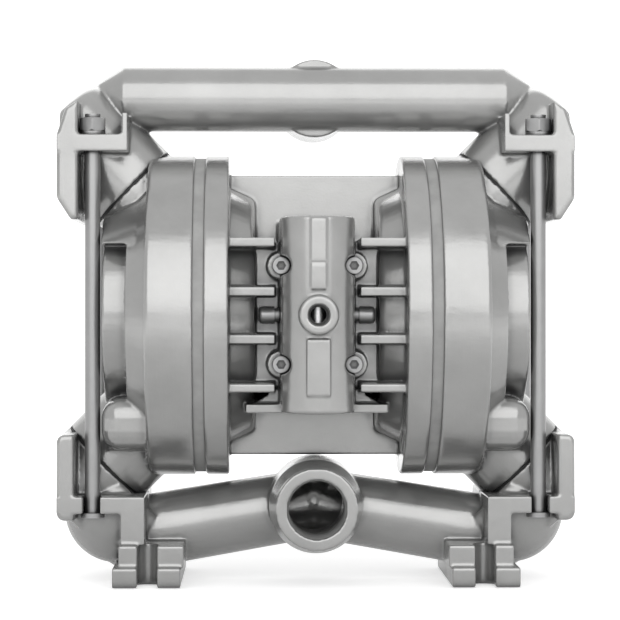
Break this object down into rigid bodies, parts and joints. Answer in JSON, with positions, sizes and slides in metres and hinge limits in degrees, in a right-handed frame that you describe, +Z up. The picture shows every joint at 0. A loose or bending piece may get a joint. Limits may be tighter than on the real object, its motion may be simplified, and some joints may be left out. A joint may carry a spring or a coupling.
{
  "type": "air operated double diaphragm pump",
  "caption": "Air operated double diaphragm pump: round diaphragm chambers either side of a ribbed centre section with an air valve, manifolds above and below held by long rods, slotted feet.",
  "frame": {"origin": "middle of the four foot slots, at the underside of the feet", "axes": "+X to the right-hand chamber, -Y to the front with the air valve and inlet port, +Z up"},
  "size_m": [0.2658, 0.1811, 0.2739],
  "materials": {
    "cast_aluminium": "satin as cast",
    "machined_aluminium": "turned",
    "elastomer": "matt",
    "black_rubber": "matt",
    "seal_plastic": "moulded",
    "bushing_bronze": "turned",
    "bright_steel": "ground",
    "plated_steel": "zinc plated"
  },
  "bodies": {
    "pump_body": {"air_valve_body": "cast_aluminium", "air_valve_gasket": "black_rubber", "air_valve_screws": "plated_steel", "centre_section": "cast_aluminium", "chamber_screws_left": "plated_steel", "chamber_screws_right": "plated_steel", "clamp_nuts": "plated_steel", "clamp_rods": "plated_steel", "clamp_washers": "plated_steel", "diaphragm_left": "elastomer", "diaphragm_right": "elastomer", "discharge_manifold": "cast_aluminium", "foot_left": "cast_aluminium", "foot_right": "cast_aluminium", "inlet_joint_gasket_left": "black_rubber", "inlet_joint_gasket_right": "black_rubber", "inlet_manifold": "cast_aluminium", "inlet_valve_seat_left": "machined_aluminium", "inlet_valve_seat_right": "machined_aluminium", "lower_valve_cap": "machined_aluminium", "outlet_joint_gasket_left": "black_rubber", "outlet_joint_gasket_right": "black_rubber", "outlet_valve_seat_left": "machined_aluminium", "outlet_valve_seat_right": "machined_aluminium", "passage_plug_left": "plated_steel", "passage_plug_right": "plated_steel", "retaining_rings": "bright_steel", "shaft_bushing_left": "bushing_bronze", "shaft_bushing_right": "bushing_bronze", "shaft_seal_left": "seal_plastic", "shaft_seal_right": "seal_plastic", "upper_valve_cap": "machined_aluminium", "water_chamber_left": "cast_aluminium", "water_chamber_right": "cast_aluminium"},
    "shaft_assembly": {"main_shaft": "bright_steel", "inner_diaphragm_plate_left": "machined_aluminium", "inner_diaphragm_plate_right": "machined_aluminium", "outer_diaphragm_plate_left": "machined_aluminium", "outer_diaphragm_plate_right": "machined_aluminium"},
    "inlet_ball_left": {"inlet_ball_left": "elastomer"},
    "inlet_ball_right": {"inlet_ball_right": "elastomer"},
    "outlet_ball_left": {"outlet_ball_left": "elastomer"},
    "outlet_ball_right": {"outlet_ball_right": "elastomer"},
    "air_valve_piston": {"air_valve_piston": "machined_aluminium"}
  },
  "joints": [
    {"name": "shaft_stroke", "type": "slide", "parent": "pump_body", "child": "shaft_assembly", "axis": [1, 0, 0], "range_m": [-0.009, 0.009], "deforming": ["diaphragm_left", "diaphragm_right"]},
    {"name": "inlet_ball_lift_left", "type": "slide", "parent": "pump_body", "child": "inlet_ball_left", "axis": [0.7071, 0, 0.7071], "range_m": [0, 0.008]},
    {"name": "inlet_ball_lift_right", "type": "slide", "parent": "pump_body", "child": "inlet_ball_right", "axis": [-0.7071, 0, 0.7071], "range_m": [0, 0.008]},
    {"name": "outlet_ball_lift_left", "type": "slide", "parent": "pump_body", "child": "outlet_ball_left", "axis": [-0.7071, 0, 0.7071], "range_m": [0, 0.008]},
    {"name": "outlet_ball_lift_right", "type": "slide", "parent": "pump_body", "child": "outlet_ball_right", "axis": [0.7071, 0, 0.7071], "range_m": [0, 0.008]},
    {"name": "air_valve_shift", "type": "slide", "parent": "pump_body", "child": "air_valve_piston", "axis": [0, 0, 1], "range_m": [0, 0.012]}
  ]
}
